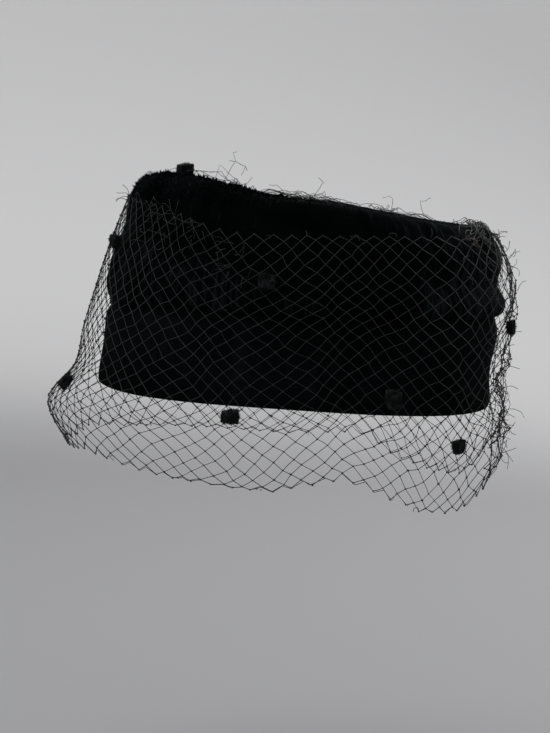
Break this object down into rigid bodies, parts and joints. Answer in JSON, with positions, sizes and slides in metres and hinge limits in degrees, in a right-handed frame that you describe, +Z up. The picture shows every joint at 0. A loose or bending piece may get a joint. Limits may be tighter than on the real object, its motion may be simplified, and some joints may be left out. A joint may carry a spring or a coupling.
{
  "type": "pillbox hat",
  "caption": "A pillbox hat of draped black velvet with a coarse diamond net veil that hangs past the rim and carries fuzzy chenille dots.",
  "frame": {"origin": "centre of the head opening, in the plane of the rim", "axes": "+Z up out of the crown, -Y towards the front of the hat, +X towards the wearer's left"},
  "size_m": [0.1832, 0.2393, 0.1611],
  "materials": {
    "black_velvet": "matt short pile",
    "black_net": "stiff matt thread",
    "black_chenille": "fuzzy matt"
  },
  "bodies": {
    "root": {"lower_band": "black_velvet", "upper_drape": "black_velvet", "tip": "black_velvet", "veil": "black_net", "chenille_dot_01": "black_chenille", "chenille_dot_02": "black_chenille", "chenille_dot_03": "black_chenille", "chenille_dot_04": "black_chenille", "chenille_dot_05": "black_chenille", "chenille_dot_06": "black_chenille", "chenille_dot_07": "black_chenille", "chenille_dot_08": "black_chenille", "chenille_dot_09": "black_chenille", "chenille_dot_10": "black_chenille", "chenille_dot_11": "black_chenille", "chenille_dot_12": "black_chenille", "chenille_dot_13": "black_chenille", "chenille_dot_14": "black_chenille"}
  },
  "joints": []
}
